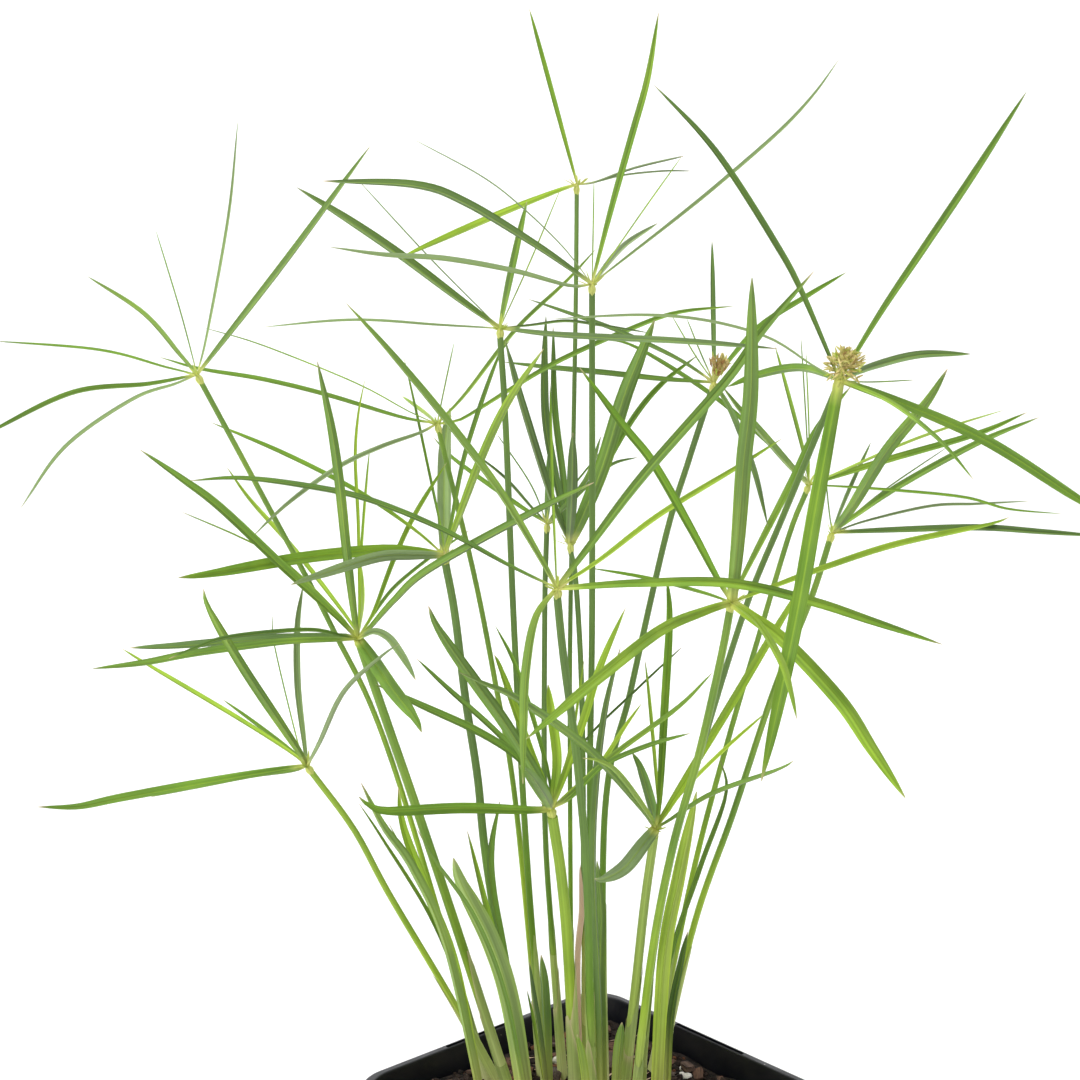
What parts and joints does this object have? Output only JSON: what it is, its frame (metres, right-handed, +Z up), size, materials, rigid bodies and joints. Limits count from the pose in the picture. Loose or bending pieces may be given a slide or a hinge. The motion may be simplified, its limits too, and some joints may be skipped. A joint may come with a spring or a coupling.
{
  "type": "potted umbrella sedge",
  "caption": "Umbrella sedge in a square black nursery pot: upright stems, each topped by a whorl of narrow arching leaves.",
  "frame": {"origin": "middle of the pot's flat underside, where it rests", "axes": "+Z up; -Y is the side that the picture sees, +X is to its right; one corner of the pot points almost along -Y"},
  "size_m": [0.3339, 0.213, 0.4328],
  "materials": {
    "pot": "black moulded polypropylene, satin",
    "soil": "dark peat and bark potting mix with pale perlite grains",
    "stem": "smooth green stem, straw coloured at the foot",
    "leaf": "green leaf with a soft sheen and a paler keel",
    "dry_leaf": "dead leaf, dry and pinkish brown"
  },
  "bodies": {
    "root": {"pot": "pot", "soil": "soil", "stem_01": "stem", "stem_02": "stem", "stem_03": "stem", "stem_04": "stem", "stem_05": "stem", "stem_06": "stem", "stem_07": "stem", "stem_08": "stem", "stem_09": "stem", "stem_10": "stem", "stem_11": "stem", "stem_12": "stem", "stem_13": "stem", "stem_14": "stem", "stem_15": "stem", "stem_16": "stem", "stem_17": "stem", "stem_18": "stem", "leaf_whorl_01": "leaf", "leaf_whorl_02": "leaf", "leaf_whorl_03": "leaf", "leaf_whorl_04": "leaf", "leaf_whorl_05": "leaf", "leaf_whorl_06": "leaf", "leaf_whorl_07": "leaf", "leaf_whorl_08": "leaf", "leaf_whorl_09": "leaf", "leaf_whorl_10": "leaf", "leaf_whorl_11": "leaf", "leaf_whorl_12": "leaf", "leaf_whorl_13": "leaf", "leaf_whorl_14": "leaf", "leaf_whorl_15": "leaf", "leaf_whorl_16": "leaf", "leaf_whorl_17": "leaf", "leaf_whorl_18": "leaf", "shoot_01": "leaf", "shoot_02": "leaf", "shoot_03": "leaf", "shoot_04": "leaf", "shoot_05": "leaf", "shoot_06": "leaf", "shoot_07": "leaf", "shoot_08": "leaf", "dry_leaf": "dry_leaf"}
  },
  "joints": []
}
